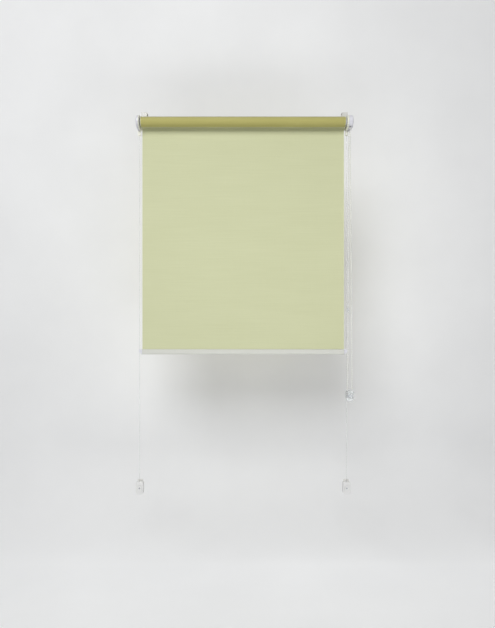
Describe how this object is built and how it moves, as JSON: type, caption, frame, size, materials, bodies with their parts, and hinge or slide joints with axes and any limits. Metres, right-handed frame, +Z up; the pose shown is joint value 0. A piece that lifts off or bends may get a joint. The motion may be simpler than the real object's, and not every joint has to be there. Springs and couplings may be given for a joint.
{
  "type": "clip-on roller blind",
  "caption": "Clip-on roller blind for a window sash: fabric on a tube with a sprung idle pin, bead chain drive, guide lines and weighted bottom rail.",
  "frame": {"origin": "middle of the sash's top edge, on the sash face", "axes": "+X to the right seen from the room, +Y into the window, +Z up"},
  "size_m": [0.7585, 0.0742, 1.3305],
  "materials": {
    "bracket_plastic": "moulded, cream white",
    "cover_plastic": "moulded, cool white",
    "drive_plastic": "moulded acetal",
    "clear_plastic": "translucent",
    "line_nylon": "translucent monofilament",
    "beads": "moulded beads on a cord",
    "fabric": "coated blackout weave",
    "rail": "satin white paint on aluminium",
    "tube": "mill",
    "steel": "zinc plated",
    "hook_sheet": "white powder coat on steel sheet",
    "foam": "closed cell foam"
  },
  "bodies": {
    "mounting": {"sash_hook_left": "hook_sheet", "sash_hook_right": "hook_sheet", "hook_pad_left": "foam", "hook_pad_right": "foam", "hook_screw_left": "steel", "hook_screw_right": "steel", "idle_bracket": "bracket_plastic", "idle_cover": "cover_plastic", "drive_bracket": "bracket_plastic", "drive_cover": "cover_plastic", "drive_spindle": "drive_plastic", "clutch_spring": "steel", "fabric_panel": "fabric", "guide_line_left": "line_nylon", "guide_line_right": "line_nylon", "line_stop_left": "steel", "line_stop_right": "steel", "tensioner_hook_left": "hook_sheet", "tensioner_hook_right": "hook_sheet", "tensioner_body_left": "cover_plastic", "tensioner_body_right": "cover_plastic", "tensioner_screw_left": "steel", "tensioner_screw_right": "steel", "bead_chain": "beads", "chain_connector": "clear_plastic", "chain_tensioner_base": "clear_plastic", "chain_tensioner_cover": "clear_plastic", "chain_tensioner_screw": "steel"},
    "rail": {"bottom_rail": "rail", "weight_rod": "steel", "hem_strip": "clear_plastic", "rail_cap_left": "cover_plastic", "rail_cap_right": "cover_plastic"},
    "roller": {"roller_tube": "tube", "fabric_roll": "fabric", "drive_sprocket": "drive_plastic", "drive_plug": "drive_plastic", "idle_plug": "drive_plastic", "idle_spring": "steel", "idle_spring_cap": "drive_plastic"},
    "pin": {"idle_pin": "steel"},
    "knob_left": {"tensioner_knob_left": "cover_plastic"},
    "knob_right": {"tensioner_knob_right": "cover_plastic"},
    "chain_wheel": {"chain_tensioner_wheel": "drive_plastic"}
  },
  "joints": [
    {"name": "rail_lift", "type": "slide", "parent": "mounting", "child": "rail", "axis": [0, 0, 1], "range_m": [-0.42857, 0.73309], "deforming": ["fabric_panel", "bead_chain"]},
    {"name": "roller_turn", "type": "hinge", "parent": "mounting", "child": "roller", "pos_m": [0, -0.031, -0.0455], "axis": [1, 0, 0], "range_deg": [-1369, 2341], "deforming": ["bead_chain"]},
    {"name": "idle_pin_press", "type": "slide", "parent": "roller", "child": "pin", "axis": [1, 0, 0], "range_m": [0, 0.0065], "stiffness_N_per_m": 600, "springref_m": -0.008, "deforming": ["idle_spring"]},
    {"name": "knob_left_turn", "type": "hinge", "parent": "mounting", "child": "knob_left", "pos_m": [-0.3592, 0, -1.308], "axis": [0, 1, 0], "range_deg": [-360, 0]},
    {"name": "knob_right_turn", "type": "hinge", "parent": "mounting", "child": "knob_right", "pos_m": [0.3592, 0, -1.308], "axis": [0, 1, 0], "range_deg": [-360, 0]},
    {"name": "chain_wheel_turn", "type": "hinge", "parent": "mounting", "child": "chain_wheel", "pos_m": [0.3723, -0.005, -0.99004], "axis": [0, 1, 0], "range_deg": [-1711, 2926], "deforming": ["bead_chain"]}
  ],
  "couplings": [
    {"joint": "roller_turn", "follows": "rail_lift", "rad_per_m": 55.71},
    {"joint": "chain_wheel_turn", "follows": "rail_lift", "rad_per_m": 69.638}
  ]
}
